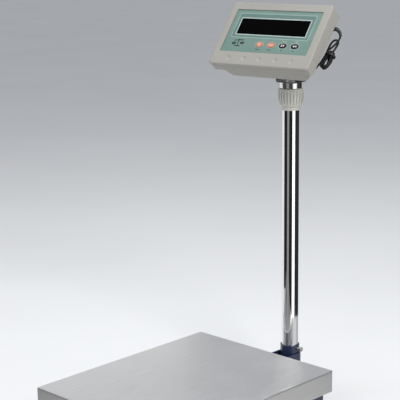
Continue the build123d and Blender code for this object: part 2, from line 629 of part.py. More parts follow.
# ---------------------------------------------------------------- indicator housing
def make_front_shell():
    with BuildPart() as shell:
        with BuildSketch(behind(FRONT_DEPTH)):
            RectangleRounded(HEAD_W, HEAD_H, HEAD_CORNER_R)
        extrude(amount=FRONT_DEPTH)
        fillet(shell.faces().sort_by(along(FACE.z_dir))[-1].edges(), 3.2)
        with BuildSketch(behind(FRONT_DEPTH)):
            RectangleRounded(HEAD_W - 2 * HEAD_WALL, HEAD_H - 2 * HEAD_WALL, HEAD_CORNER_R - HEAD_WALL)
        extrude(amount=FRONT_DEPTH - FACE_WALL, mode=Mode.SUBTRACT)
        with BuildSketch(behind(OVERLAY_SINK + OVERLAY_T)):
            with Locations((0, OVERLAY_V)):
                RectangleRounded(OVERLAY_W + 0.6, OVERLAY_H + 0.6, 2.5)
        extrude(amount=OVERLAY_SINK + OVERLAY_T, mode=Mode.SUBTRACT)
        # window seat, window opening and key openings
        with BuildSketch(behind(3)):
            with Locations((WINDOW_X, WINDOW_V)):
                Rectangle(WINDOW_W + 0.6, WINDOW_H + 0.6)
        extrude(amount=3, mode=Mode.SUBTRACT)
        with BuildSketch(behind(FACE_WALL)):
            with Locations((WINDOW_X, WINDOW_V)):
                Rectangle(WINDOW_W - 8, WINDOW_H - 6)
            for x in KEY_X:
                with Locations((x, KEY_V)):
                    Ellipse(KEY_W / 2 + 0.4, KEY_H / 2 + 0.4)
        extrude(amount=FACE_WALL, mode=Mode.SUBTRACT)
        # finger dimples along the lower rim
        ball_r = (DIMPLE_R**2 + DIMPLE_DEPTH**2) / (2 * DIMPLE_DEPTH)
        with Locations(FACE.offset(ball_r - DIMPLE_DEPTH)):
            with GridLocations(DIMPLE_PITCH, 0, DIMPLES, 1):
                with Locations((0, DIMPLE_V)):
                    Sphere(ball_r, mode=Mode.SUBTRACT)
        # screw bosses
        with BuildSketch(behind(9.8)):
            with Locations(*SHELL_SCREWS):
                Circle(4)
        extrude(amount=9.8 - FACE_WALL + 0.5)
        drill(behind(FACE_WALL + 1), SHELL_SCREWS, 1.5, 10)
    write("front_shell", shell)


def tub_section(outline, n, corner):
    """A rounded rectangle at depth n, given as half width, bottom and top."""
    half, low, high = outline
    with BuildSketch(behind(n)) as section:
        with Locations((0, (low + high) / 2)):
            RectangleRounded(2 * half, high - low, corner)
    return section.sketch


def rim_depth(v):
    """Depth of the rim's back edge at height v: the back leans, deeper at the top."""
    middle = (RIM_TOP_DEPTH + RIM_LOW_DEPTH) / 2
    return middle + (RIM_TOP_DEPTH - RIM_LOW_DEPTH) * v / HEAD_H


def rim_block(inset, front_n):
    """The rear shell's rim as a block, drawn in by inset, from front_n to its leaning back."""
    lean = atan((RIM_TOP_DEPTH - RIM_LOW_DEPTH) / HEAD_H)
    back = Plane(
        in_face(0, 0, rim_depth(0) - inset), x_dir=FACE.x_dir,
        z_dir=FACE.z_dir * cos(lean) + FACE.y_dir * sin(lean),
    )
    with BuildPart(mode=Mode.PRIVATE) as block:
        with BuildSketch(behind(front_n)):
            RectangleRounded(HEAD_W - 2 * inset, HEAD_H - 2 * inset, HEAD_CORNER_R - inset)
        extrude(amount=front_n - RIM_TOP_DEPTH - 1)
        split(bisect_by=back, keep=Keep.TOP)
    return block.part


def make_rear_shell():
    front_n = FRONT_DEPTH + SHELL_GAP
    wall = HEAD_WALL
    with BuildPart() as shell:
        add(rim_block(0, front_n))
        fillet(shell.faces().sort_by(along(FACE.z_dir))[0].edges(), 3)
        fillet(shell.faces().sort_by(along(FACE.z_dir))[-1].edges(), 0.8)
        with BuildPart(mode=Mode.PRIVATE) as outer:
            loft([tub_section(TUB_FRONT, RIM_LOW_DEPTH - 1, 9), tub_section(TUB_REAR, HEAD_DEPTH, 9)])
            fillet(outer.faces().sort_by(along(FACE.z_dir))[0].edges(), 3)
        add(outer.part)
        # boss that carries the cable gland
        with BuildSketch(across(GLAND_X)):
            with Locations((GLAND_N, GLAND_V)):
                Circle(9.5)
        extrude(amount=-14)
        # hollow
        add(rim_block(wall, front_n), mode=Mode.SUBTRACT)
        with BuildPart(mode=Mode.PRIVATE) as inner:
            inset_front = (TUB_FRONT[0] - wall, TUB_FRONT[1] + wall, TUB_FRONT[2] - wall)
            inset_rear = (TUB_REAR[0] - wall, TUB_REAR[1] + wall, TUB_REAR[2] - wall)
            depths = (RIM_LOW_DEPTH - 5, HEAD_DEPTH - wall)
            loft([tub_section(inset_front, depths[0], 6), tub_section(inset_rear, depths[1], 6)])
        add(inner.part, mode=Mode.SUBTRACT)
        with BuildSketch(across(GLAND_X + 1)):
            with Locations((GLAND_N, GLAND_V)):
                Circle(6.1)
        extrude(amount=-20, mode=Mode.SUBTRACT)
        # screw posts, counterbored from behind
        for x, v in SHELL_SCREWS:
            with BuildSketch(behind(10)):
                with Locations((x, v)):
                    Circle(4.5)
            extrude(amount=10 - rim_depth(v) + 1)
            drill(behind(9), [(x, v)], 1.7, 30)
            drill(behind(rim_depth(v) - 2), [(x, v)], 3.4, 5)
        # board standoffs and tilt bracket screw holes
        with BuildSketch(behind(BOARD_N + 0.1)):
            with Locations(*STANDOFFS):
                Circle(3.6)
                Circle(1.25, mode=Mode.SUBTRACT)
        extrude(amount=BOARD_N - HEAD_DEPTH + wall - 0.2)
        drill(behind(50), bracket_screw_places(), 1.6, 10)
        # ventilation slots
        with BuildSketch(behind(50)):
            with Locations((0, 52)):
                with GridLocations(9, 0, 9, 1):
                    SlotOverall(16, 2.4, rotation=90)
        extrude(amount=-10, mode=Mode.SUBTRACT)
        # power inlet opening on the left of the tub's back
        with BuildSketch(behind(50)):
            with Locations((POWER_X, POWER_V)):
                Circle(5.6)
        extrude(amount=-10, mode=Mode.SUBTRACT)
    write("rear_shell", shell)

    screws = []
    for x, v in SHELL_SCREWS:
        seat_n = rim_depth(v) - 2
        seat = Plane(in_face(x, v, seat_n), x_dir=FACE.x_dir, z_dir=-FACE.z_dir)
        screws.append(pan_screw(seat, 3.1, 1.9, 1.45, seat_n - 7))
    group("shell_screws", screws)


def make_face_parts():
    with BuildPart() as overlay:
        with BuildSketch(behind(OVERLAY_SINK + OVERLAY_T)):
            with Locations((0, OVERLAY_V)):
                RectangleRounded(OVERLAY_W, OVERLAY_H, 2)
            with Locations((WINDOW_X, WINDOW_V)):
                Rectangle(WINDOW_W + 0.4, WINDOW_H + 0.4, mode=Mode.SUBTRACT)
            for x in KEY_X:
                with Locations((x, KEY_V)):
                    Ellipse(KEY_W / 2 + 0.3, KEY_H / 2 + 0.3, mode=Mode.SUBTRACT)
        extrude(amount=OVERLAY_T)
    write("overlay", overlay)

    with BuildPart() as window:
        with BuildSketch(behind(3)):
            with Locations((WINDOW_X, WINDOW_V)):
                Rectangle(WINDOW_W, WINDOW_H)
        extrude(amount=1.7)
        chamfer(window.faces().sort_by(along(FACE.z_dir))[-1].edges(), 0.25)
    write("display_window", window)

    for number, x in enumerate(KEY_X, 1):
        with BuildPart() as key:
            with BuildSketch(behind(5.05)):
                with Locations((x, KEY_V)):
                    Ellipse(KEY_W / 2, KEY_H / 2)
            extrude(amount=4.65)
            fillet(key.faces().sort_by(along(FACE.z_dir))[-1].edges(), 0.7)
            with BuildSketch(behind(5.05)):
                with Locations((x, KEY_V)):
                    Ellipse(KEY_W / 2 + 2, KEY_H / 2 + 2)
            extrude(amount=1)
        write(f"key_{number}", key)


def make_electronics():
    with BuildPart() as display:
        with BuildSketch(behind(15.6)):
            with Locations((WINDOW_X, WINDOW_V)):
                Rectangle(190, 50)
        extrude(amount=1.6)
    write("display_board", display)
    with BuildPart() as digits:
        with BuildSketch(behind(14)):
            with Locations((WINDOW_X, WINDOW_V)):
                with GridLocations(28, 0, 6, 1):
                    Rectangle(27, 32)
        extrude(amount=9.4)
    write("display_digits", digits)
    with BuildPart() as keys:
        with BuildSketch(behind(11.2)):
            with Locations(((KEY_X[0] + KEY_X[-1]) / 2, KEY_V)):
                Rectangle(124, 24)
        extrude(amount=1.6)
        with BuildSketch(behind(9.6)):
            with Locations(*[(x, KEY_V) for x in KEY_X]):
                Rectangle(6, 6)
        extrude(amount=3.0)
        with BuildSketch(behind(6.6)):
            with Locations(*[(x, KEY_V) for x in KEY_X]):
                Circle(1.7)
        extrude(amount=0.95)
    write("key_board", keys)
    with BuildPart() as board:
        with BuildSketch(behind(BOARD_N)):
            with Locations((0, 22)):
                Rectangle(170, 62)
        extrude(amount=BOARD_T)
        drill(behind(BOARD_N - BOARD_T), STANDOFFS, 1.3, 2)
        with BuildSketch(behind(BOARD_N)):
            with Locations((-50, 30), (-36, 30)):
                Circle(5)
            with Locations((10, 28)):
                Rectangle(34, 14)
            with Locations((56, 30)):
                Rectangle(16, 28)
        extrude(amount=-12)
    write("main_board", board)
    with BuildPart() as battery:
        with BuildSketch(behind(54.3)):
            with Locations((0, -57)):
                RectangleRounded(100, 28, 2)
        extrude(amount=22)
    write("battery", battery)
    with BuildPart() as inlet:
        with BuildSketch(behind(HEAD_DEPTH)):
            with Locations((POWER_X, POWER_V)):
                Circle(5.5)
        extrude(amount=12)
        with BuildSketch(behind(HEAD_DEPTH)):
            with Locations((POWER_X, POWER_V)):
                Circle(8)
        extrude(amount=-2)
        drill(behind(HEAD_DEPTH + 2), [(POWER_X, POWER_V)], 2.8, -10)
    write("power_inlet", inlet)


def bracket_screw_places():
    """Where the tilt bracket is screwed to the housing, as (x, v)."""
    return [(sx * BRACKET_SCREW_X, PIVOT_V + sv * BRACKET_SCREW_V) for sx in (-1, 1) for sv in (-1, 1)]


def make_tilt_bracket():
    """U bracket screwed to the housing's back, its ears inside the yoke's arms."""
    ear = YOKE_W / 2 - YOKE_T - WASHER_GAP
    root = BRACKET_H / 2 - 5
    with BuildPart() as bracket:
        with BuildSketch(behind(HEAD_DEPTH + BRACKET_T)):
            with Locations((0, PIVOT_V)):
                RectangleRounded(2 * ear, BRACKET_H, 3)
        extrude(amount=BRACKET_T)
        for x in (-ear, ear - BRACKET_T):
            with BuildSketch(across(x)):
                with Locations((PIVOT_N, PIVOT_V)):
                    Circle(PIVOT_EYE_R)
                with BuildLine():
                    Polyline(
                        (HEAD_DEPTH, PIVOT_V - root), (PIVOT_N, PIVOT_V - PIVOT_EYE_R),
                        (PIVOT_N, PIVOT_V + PIVOT_EYE_R), (HEAD_DEPTH, PIVOT_V + root), close=True,
                    )
                make_face()
            extrude(amount=BRACKET_T)
        drill(across(ear + 1), [(PIVOT_N, PIVOT_V)], PIVOT_BOLT_R + RUNNING_FIT, 2 * ear + 2)
        drill(behind(HEAD_DEPTH), bracket_screw_places(), 2.1, BRACKET_T)
    write("tilt_bracket", bracket)

    spacer_half = ear - BRACKET_T - 0.1
    with BuildPart() as spacer:
        with BuildSketch(across(spacer_half)):
            with Locations((PIVOT_N, PIVOT_V)):
                Circle(7)
                Circle(PIVOT_BOLT_R + 2 * RUNNING_FIT, mode=Mode.SUBTRACT)
        extrude(amount=-2 * spacer_half)
    write("pivot_spacer", spacer)

    plane = behind(HEAD_DEPTH + BRACKET_T)
    seats = [
        Plane(plane.from_local_coords(Vector(x, v, 0)), x_dir=FACE.x_dir, z_dir=-FACE.z_dir)
        for x, v in bracket_screw_places()
    ]
    group("bracket_screws", [pan_screw(seat, 3.6, 2.4, 1.55, 7.5) for seat in seats])


# ---------------------------------------------------------------- signal cable
def make_gland():
    with BuildPart() as gland:
        with BuildSketch(across(GLAND_X)):
            with Locations((GLAND_N, GLAND_V)):
                Circle(6)
        extrude(amount=-13)
        with BuildSketch(across(GLAND_X)):
            with Locations((GLAND_N, GLAND_V)):
                RegularPolygon(8, 6, major_radius=False)
        extrude(amount=GLAND_NUT)
    write("cable_gland", gland)
    boot_x = CABLE_OUT[0][0]
    with BuildPart() as boot:
        with BuildSketch(across(GLAND_X + GLAND_NUT)):
            with Locations((GLAND_N, GLAND_V)):
                Circle(5)
        with BuildSketch(across(boot_x)):
            with Locations((GLAND_N, GLAND_V)):
                Circle(3.4)
        loft()
    write("cable_boot", boot)


def cable_path(name, route):
    """A round cable along straight runs joined by arcs as large as the runs allow."""
    points = [in_face(*place) for place in route]
    radii = []
    for before, corner, after in zip(points, points[1:], points[2:]):
        incoming = corner - before
        outgoing = after - corner
        half_turn = radians(incoming.get_angle(outgoing)) / 2
        radii.append(0.45 * min(incoming.length, outgoing.length) / tan(half_turn))
    with BuildPart() as tube:
        with BuildLine() as line:
            FilletPolyline(*points, radius=radii)
        with BuildSketch(Plane(points[0], z_dir=points[1] - points[0])):
            Circle(CABLE_D / 2)
        sweep(path=line.wires()[0])
    length = line.wires()[0].length
    section = pi * CABLE_D**2 / 4
    print(name, "length", round(length, 1), "volume ratio", round(tube.part.volume / (section * length), 4))
    print("   radii", [round(radius, 1) for radius in radii])
    write(name, tube)


def make_cable():
    cable_path("cable_out", CABLE_OUT)
    cable_path("cable_back", CABLE_BACK)
    lean = radians(HANK_LEAN)
    plane = Plane(
        in_face(HANK_X, HANK_V, HANK_N + HANK_T / 2),
        x_dir=FACE.x_dir * cos(lean) - FACE.y_dir * sin(lean), z_dir=FACE.z_dir,
    )
    with BuildPart() as hank:
        with BuildSketch(plane):
            SlotOverall(HANK_L, HANK_W, rotation=90)
        extrude(amount=HANK_T)
        fillet(hank.edges().group_by(along(FACE.z_dir))[0] + hank.edges().group_by(along(FACE.z_dir))[-1], 4)
    write("cable_hank", hank)
    with BuildPart() as tie:
        with BuildSketch(plane.offset(-1)):
            with Locations((0, 4)):
                RectangleRounded(HANK_W + 3, 5, 1)
        extrude(amount=HANK_T + 2)
        with BuildSketch(plane):
            with Locations((0, 4)):
                Rectangle(HANK_W, 6)
        extrude(amount=HANK_T, mode=Mode.SUBTRACT)
    write("cable_tie", tie)


make_pan()
make_upper_frame()
make_load_cell()
make_feet(make_base())
make_socket()
make_clamp_screw("clamp_screw_upper", UPPER_SCREW_Z)
make_clamp_screw("clamp_screw_lower", LOWER_SCREW_Z)
make_column()
make_yoke()
make_grommet()
make_pivot()
make_front_shell()
make_rear_shell()
make_face_parts()
make_electronics()
make_tilt_bracket()
make_gland()
make_cable()
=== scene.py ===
"""Looks of a column platform scale for small animals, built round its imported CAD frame."""
import json
import math

import bmesh
import bpy
from mathutils import Matrix, Vector


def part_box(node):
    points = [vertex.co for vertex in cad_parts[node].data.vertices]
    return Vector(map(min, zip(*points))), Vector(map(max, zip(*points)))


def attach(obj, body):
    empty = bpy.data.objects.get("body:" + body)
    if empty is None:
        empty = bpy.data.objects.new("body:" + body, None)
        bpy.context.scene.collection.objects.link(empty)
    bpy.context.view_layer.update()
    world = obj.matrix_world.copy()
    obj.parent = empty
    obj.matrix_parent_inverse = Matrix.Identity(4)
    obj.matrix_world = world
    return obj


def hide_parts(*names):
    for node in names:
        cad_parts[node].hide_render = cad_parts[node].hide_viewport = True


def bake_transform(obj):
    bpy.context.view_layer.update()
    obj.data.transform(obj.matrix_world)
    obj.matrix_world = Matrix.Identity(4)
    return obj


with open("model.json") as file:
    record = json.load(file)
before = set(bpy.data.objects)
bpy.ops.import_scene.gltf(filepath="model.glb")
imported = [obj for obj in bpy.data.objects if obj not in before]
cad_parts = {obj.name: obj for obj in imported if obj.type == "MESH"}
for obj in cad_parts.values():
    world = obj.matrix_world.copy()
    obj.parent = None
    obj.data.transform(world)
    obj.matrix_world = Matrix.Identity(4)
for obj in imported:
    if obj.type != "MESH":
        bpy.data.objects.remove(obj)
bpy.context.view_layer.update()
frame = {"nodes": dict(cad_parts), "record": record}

MM = 0.001

# ---------------------------------------------------------------- the indicator's own frame
YAW, TILT = math.radians(5.3), math.radians(38.5)
COLUMN_LOW, COLUMN_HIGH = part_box("column_tube")
COLUMN_X = (COLUMN_LOW.x + COLUMN_HIGH.x) / 2
COLUMN_Y = (COLUMN_LOW.y + COLUMN_HIGH.y) / 2
ACROSS = Vector((math.cos(YAW), math.sin(YAW), 0))
BACKWARD = Vector((-math.sin(YAW), math.cos(YAW), 0))
UP = Vector((0, 0, 1))
FACE_UP = BACKWARD * math.sin(TILT) + UP * math.cos(TILT)
INWARD = BACKWARD * math.cos(TILT) - UP * math.sin(TILT)
FACE_CENTRE = Vector((COLUMN_X, COLUMN_Y, 0)) - BACKWARD * 81.5 * MM + UP * 846.7 * MM


def in_face(x, v, n):
    """A point across, up and into the indicator's housing, given in millimetres."""
    return FACE_CENTRE + (ACROSS * x + FACE_UP * v + INWARD * n) * MM


# ---------------------------------------------------------------- material helpers
class Look:
    """A Principled material with named settings and a few procedural helpers."""

    def __init__(self, name, **settings):
        self.material = bpy.data.materials.new(name)
        self.material.use_nodes = True
        self.tree = self.material.node_tree
        self.shader = self.tree.nodes["Principled BSDF"]
        for socket, value in settings.items():
            self.set(socket, value)
        coords = self.tree.nodes.new("ShaderNodeTexCoord")
        self.coords = coords.outputs["Object"]

    def set(self, socket, value):
        name = socket.replace("_", " ").title().replace("Ior", "IOR")
        if isinstance(value, tuple):
            value = (*value, 1.0)
        self.shader.inputs[name].default_value = value

    def stretched(self, scale):
        mapping = self.tree.nodes.new("ShaderNodeMapping")
        mapping.inputs["Scale"].default_value = scale
        self.tree.links.new(self.coords, mapping.inputs["Vector"])
        return mapping.outputs["Vector"]

    def noise(self, scale, detail=3.0, stretch=(1, 1, 1), rough=0.5):
        node = self.tree.nodes.new("ShaderNodeTexNoise")
        node.inputs["Scale"].default_value = scale
        node.inputs["Detail"].default_value = detail
        node.inputs["Roughness"].default_value = rough
        self.tree.links.new(self.stretched(stretch), node.inputs["Vector"])
        return node.outputs["Fac"]

    def between(self, factor, low, high):
        """A ramp from low to high, numbers or colours, driven by a 0 to 1 factor."""
        ramp = self.tree.nodes.new("ShaderNodeValToRGB")
        ramp.color_ramp.elements[0].position = 0.3
        ramp.color_ramp.elements[1].position = 0.7
        for element, value in zip(ramp.color_ramp.elements, (low, high)):
            element.color = (*value, 1) if isinstance(value, tuple) else (value, value, value, 1)
        self.tree.links.new(factor, ramp.inputs["Fac"])
        return ramp.outputs["Color"]

    def link(self, output, socket):
        self.tree.links.new(output, self.shader.inputs[socket])

    def edge_highlight(self, colour, edge_colour, radius=0.0006, strength=0.5):
        """Colour that lightens towards edge_colour where the surface turns sharply: a painted highlight along
        the edges.
        """
        bevel = self.tree.nodes.new("ShaderNodeBevel")
        bevel.samples = 4
        bevel.inputs["Radius"].default_value = radius
        geometry = self.tree.nodes.new("ShaderNodeNewGeometry")
        dot = self.tree.nodes.new("ShaderNodeVectorMath")
        dot.operation = "DOT_PRODUCT"
        self.tree.links.new(bevel.outputs["Normal"], dot.inputs[0])
        self.tree.links.new(geometry.outputs["Normal"], dot.inputs[1])
        turn = self.tree.nodes.new("ShaderNodeMapRange")
        turn.inputs["From Min"].default_value = 1.0
        turn.inputs["From Max"].default_value = 0.9
        turn.inputs["To Max"].default_value = strength
        self.tree.links.new(dot.outputs["Value"], turn.inputs["Value"])
        # painted highlight: the lightened edges are mixed into the base colour
        mix = self.tree.nodes.new("ShaderNodeMix")
        mix.data_type = "RGBA"
        self.tree.links.new(turn.outputs["Result"], mix.inputs["Factor"])
        self.tree.links.new(colour, mix.inputs["A"])
        mix.inputs["B"].default_value = (*edge_colour, 1)
        self.link(mix.outputs["Result"], "Base Color")

    def bump(self, factor, strength, distance=0.0002):
        node = self.tree.nodes.new("ShaderNodeBump")
        node.inputs["Strength"].default_value = strength
        node.inputs["Distance"].default_value = distance
        self.tree.links.new(factor, node.inputs["Height"])
        self.link(node.outputs["Normal"], "Normal")


def brushed_pan():
    look = Look("brushed_pan", metallic=1.0)
    streaks = look.noise(1.0, 4, (1400, 14, 900))
    cloud = look.noise(5.0, 3)
    look.link(look.between(streaks, (0.66, 0.66, 0.66), (0.80, 0.80, 0.80)), "Base Color")
    look.link(look.between(cloud, 0.30, 0.42), "Roughness")
    look.bump(streaks, 0.10, 0.00004)
    return look.material


def navy_paint():
    look = Look("navy_paint", coat_weight=0.5, coat_roughness=0.12, specular_ior_level=0.5)
    paint = look.between(look.noise(9.0), (0.010, 0.016, 0.055), (0.016, 0.024, 0.080))
    # painted highlight: the paint is lightened along sharp edges
    look.edge_highlight(paint, (0.05, 0.07, 0.16))
    look.link(look.between(look.noise(40.0), 0.30, 0.40), "Roughness")
    look.bump(look.noise(700.0, 1), 0.12, 0.00008)
    return look.material


def rubber(name="black_rubber"):
    look = Look(name, specular_ior_level=0.35)
    look.link(look.between(look.noise(30.0), (0.018, 0.018, 0.019), (0.034, 0.034, 0.035)), "Base Color")
    look.link(look.between(look.noise(120.0), 0.62, 0.78), "Roughness")
    look.bump(look.noise(1500.0, 2), 0.2, 0.0001)
    return look.material


def moulded(name, low, high, rough_low, rough_high, grain=1800.0, depth=0.15, edge=None, specular=0.45):
    """Moulded plastic: slight shade drift, fine spark-eroded grain, edges lightened by a painted highlight.
    """
    look = Look(name, specular_ior_level=specular)
    shade = look.between(look.noise(7.0, 2), low, high)
    if edge:
        # painted highlight: edges lightened towards the edge colour
        look.edge_highlight(shade, edge)
    else:
        look.link(shade, "Base Color")
    look.link(look.between(look.noise(60.0, 3), rough_low, rough_high), "Roughness")
    look.bump(look.noise(grain, 2), depth, 0.00006)
    return look.material


def metal(name, low, high, rough_low, rough_high, stretch=(1, 1, 1), grain=300.0):
    """Bare or plated metal with a directional grain given by stretch."""
    look = Look(name, metallic=1.0)
    grain_noise = look.noise(grain, 3, stretch)
    look.link(look.between(look.noise(60.0, 2), low, high), "Base Color")
    look.link(look.between(grain_noise, rough_low, rough_high), "Roughness")
    look.bump(grain_noise, 0.05, 0.00003)
    return look.material


def film(name, low, high, rough_low=0.32, rough_high=0.42):
    """Printed polyester film: even colour with a faint mottling and a fine matt texture."""
    look = Look(name, specular_ior_level=0.4)
    look.link(look.between(look.noise(25.0, 2), low, high), "Base Color")
    look.link(look.between(look.noise(90.0, 2), rough_low, rough_high), "Roughness")
    look.bump(look.noise(2600.0, 1), 0.10, 0.00003)
    return look.material


def tinted_window():
    look = Look("window_acrylic", specular_ior_level=0.03)
    shade = look.between(look.noise(12.0, 2), (0.0004, 0.0004, 0.0005), (0.0008, 0.0008, 0.0010))
    look.link(shade, "Base Color")
    look.link(look.between(look.noise(35.0, 3), 0.10, 0.16), "Roughness")
    return look.material


def circuit_board():
    look = Look("circuit_board", specular_ior_level=0.5)
    tracks = look.tree.nodes.new("ShaderNodeTexBrick")
    tracks.inputs["Scale"].default_value = 160.0
    tracks.inputs["Color1"].default_value = (0.012, 0.10, 0.035, 1)
    tracks.inputs["Color2"].default_value = (0.018, 0.13, 0.045, 1)
    tracks.inputs["Mortar"].default_value = (0.03, 0.20, 0.07, 1)
    look.tree.links.new(look.coords, tracks.inputs["Vector"])
    look.link(tracks.outputs["Color"], "Base Color")
    look.link(look.between(look.noise(200.0), 0.3, 0.45), "Roughness")
    return look.material


MATERIALS = {
    "brushed_pan": brushed_pan(),
    "navy_paint": navy_paint(),
    "black_rubber": rubber(),
    # the edge colours below are painted highlights along sharp edges
    "black_plastic": moulded("black_plastic", (0.016, 0.016, 0.017), (0.026, 0.026, 0.027), 0.38, 0.52,
                             edge=(0.07, 0.07, 0.07)),
    "cable_jacket": moulded("cable_jacket", (0.006, 0.006, 0.007), (0.011, 0.011, 0.012), 0.40, 0.52, 900.0,
                            specular=0.3),
    "cell_aluminium": metal("cell_aluminium", (0.72, 0.73, 0.74), (0.80, 0.80, 0.81), 0.28, 0.42, (1, 12, 1)),
    "zinc_steel": metal("zinc_steel", (0.66, 0.66, 0.63), (0.76, 0.76, 0.74), 0.24, 0.36),
    "chrome_tube": metal("chrome_tube", (0.80, 0.80, 0.81), (0.86, 0.86, 0.87), 0.035, 0.06,
                         (1, 1, 0.05), 90.0),
    "grey_plastic": moulded("grey_plastic", (0.42, 0.42, 0.38), (0.46, 0.46, 0.42), 0.34, 0.44,
                            edge=(0.60, 0.60, 0.55)),
    "bracket_steel": metal("bracket_steel", (0.20, 0.20, 0.19), (0.27, 0.27, 0.26), 0.30, 0.42),
    "hub_steel": metal("hub_steel", (0.72, 0.72, 0.70), (0.80, 0.80, 0.78), 0.16, 0.24, (1, 1, 10)),
    "shell_plastic": moulded("shell_plastic", (0.285, 0.275, 0.250), (0.312, 0.302, 0.275), 0.42, 0.54,
                             edge=(0.42, 0.41, 0.375)),
    "overlay_film": film("overlay_film", (0.125, 0.205, 0.180), (0.145, 0.228, 0.202)),
    "window_acrylic": tinted_window(),
    "orange_key": film("orange_key", (0.40, 0.150, 0.090), (0.47, 0.185, 0.112), 0.30, 0.40),
    "black_key": film("black_key", (0.005, 0.005, 0.006), (0.009, 0.009, 0.010), 0.26, 0.36),
    "circuit_board": circuit_board(),
    "digit_block": film("digit_block", (0.012, 0.012, 0.012), (0.02, 0.02, 0.02)),
    "battery_case": moulded("battery_case", (0.05, 0.05, 0.055), (0.07, 0.07, 0.075), 0.4, 0.55),
    "pale_print": film("pale_print", (0.33, 0.40, 0.38), (0.38, 0.45, 0.43)),
    "light_teal_print": film("light_teal_print", (0.225, 0.330, 0.305), (0.255, 0.360, 0.335)),
    # deep teal: print on the window band, and painted shade in the ring along the overlay's edge
    "deep_teal_print_and_painted_shade": film("deep_teal_print_and_painted_shade", (0.090, 0.155, 0.140), (0.106, 0.174, 0.158)),
    "dark_print": film("dark_print", (0.014, 0.030, 0.028), (0.024, 0.042, 0.038)),
    "white_print": film("white_print", (0.75, 0.75, 0.72), (0.82, 0.82, 0.79)),
    "peach_print": film("peach_print", (0.80, 0.52, 0.40), (0.86, 0.60, 0.48)),
}

for entry in frame["record"]["subparts"]:
    node = frame["nodes"][entry["node"]]
    material = MATERIALS[entry["material_slot"]]
    node.data.materials.clear()
    node.data.materials.append(material)


# ---------------------------------------------------------------- mesh helpers
def piece(name, bm, material, body):
    """Turn a bmesh in the row frame into a piece that rides a body."""
    mesh = bpy.data.meshes.new(name)
    bmesh.ops.recalc_face_normals(bm, faces=bm.faces)
    bm.to_mesh(mesh)
    bm.free()
    obj = bpy.data.objects.new(name, mesh)
    bpy.context.scene.collection.objects.link(obj)
    mesh.materials.append(MATERIALS[material])
    if body:
        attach(obj, body)
    return obj


def outline(x, v, width, height, corner, steps=5):
    """A rounded rectangle's points, anticlockwise, in the face's millimetres."""
    points = []
    for cx, cy, start in ((1, 1, 0), (-1, 1, 90), (-1, -1, 180), (1, -1, 270)):
        for step in range(steps + 1):
            angle = math.radians(start + 90 * step / steps)
            points.append((
                x + cx * (width / 2 - corner) + corner * math.cos(angle),
                v + cy * (height / 2 - corner) + corner * math.sin(angle),
            ))
    return points


def ellipse(x, v, half_w, half_h, count=36):
    turn = 2 * math.pi / count
    return [(x + half_w * math.cos(i * turn), v + half_h * math.sin(i * turn)) for i in range(count)]


def add_slab(bm, points, n_front, n_back):
    """A closed slab with the given outline between two depths of the housing."""
    front = [bm.verts.new(in_face(x, v, n_front)) for x, v in points]
    back = [bm.verts.new(in_face(x, v, n_back)) for x, v in points]
    bm.faces.new(front)
    bm.faces.new(list(reversed(back)))
    count = len(points)
    for i in range(count):
        j = (i + 1) % count
        bm.faces.new((front[i], back[i], back[j], front[j]))


def add_frame(bm, outer, inner, n_front, n_back):
    """A closed ring between two outlines that have equally many points."""
    loops = []
    for points, n in ((outer, n_front), (inner, n_front), (inner, n_back), (outer, n_back)):
        loops.append([bm.verts.new(in_face(x, v, n)) for x, v in points])
    count = len(outer)
    for a, b in zip(loops, loops[1:] + loops[:1]):
        for i in range(count):
            j = (i + 1) % count
            bm.faces.new((a[i], a[j], b[j], b[i]))


def slabs(name, outlines, n_front, n_back, material, body):
    bm = bmesh.new()
    for points in outlines:
        add_slab(bm, points, n_front, n_back)
    return piece(name, bm, material, body)


def ring(name, outer, inner, n_front, n_back, material, body):
    bm = bmesh.new()
    add_frame(bm, outer, inner, n_front, n_back)
    return piece(name, bm, material, body)


def swept(name, path, radii, sides, material, body=None):
    """A round tube whose rings follow path, each with its own radius, closed at both ends."""
    bm = bmesh.new()
    count = len(path)
    tangents = [(path[min(i + 1, count - 1)] - path[max(i - 1, 0)]).normalized() for i in range(count)]
    side = tangents[0].orthogonal().normalized()
    rings = []
    for point, tangent, radius in zip(path, tangents, radii):
        side = (side - tangent * side.dot(tangent)).normalized()
        other = tangent.cross(side)
        turn = 2 * math.pi / sides
        rings.append([
            bm.verts.new(point + (side * math.cos(k * turn) + other * math.sin(k * turn)) * radius)
            for k in range(sides)
        ])
    for a, b in zip(rings, rings[1:]):
        for k in range(sides):
            m = (k + 1) % sides
            bm.faces.new((a[k], a[m], b[m], b[k]))
    bm.faces.new(list(reversed(rings[0])))
    bm.faces.new(rings[-1])
    for face in bm.faces:
        face.smooth = len(face.verts) == 4
    return piece(name, bm, material, body)


# ---------------------------------------------------------------- camera
SENSOR = 36.0
LENS = 111.34259
CAMERA_AT = Vector((1.77078, -1.83887, 1.07204))
HEADING, PITCH, ROLL = math.radians(44.1366), math.radians(12.3685), math.radians(-0.6858)


def make_camera():
    forward = Vector((
        -math.sin(HEADING) * math.cos(PITCH), math.cos(HEADING) * math.cos(PITCH), -math.sin(PITCH),
    ))
    level = Vector((math.cos(HEADING), math.sin(HEADING), 0))
    upright = level.cross(forward)
    right = level * math.cos(ROLL) + upright * math.sin(ROLL)
    top = upright * math.cos(ROLL) - level * math.sin(ROLL)
    data = bpy.data.cameras.new("camera")
    data.sensor_width = SENSOR
    data.lens = LENS
    camera = bpy.data.objects.new("camera", data)
    bpy.context.scene.collection.objects.link(camera)
    turn = Matrix((right, top, -forward)).transposed()
    camera.matrix_world = Matrix.Translation(CAMERA_AT) @ turn.to_4x4()
    bpy.context.scene.camera = camera


make_camera()

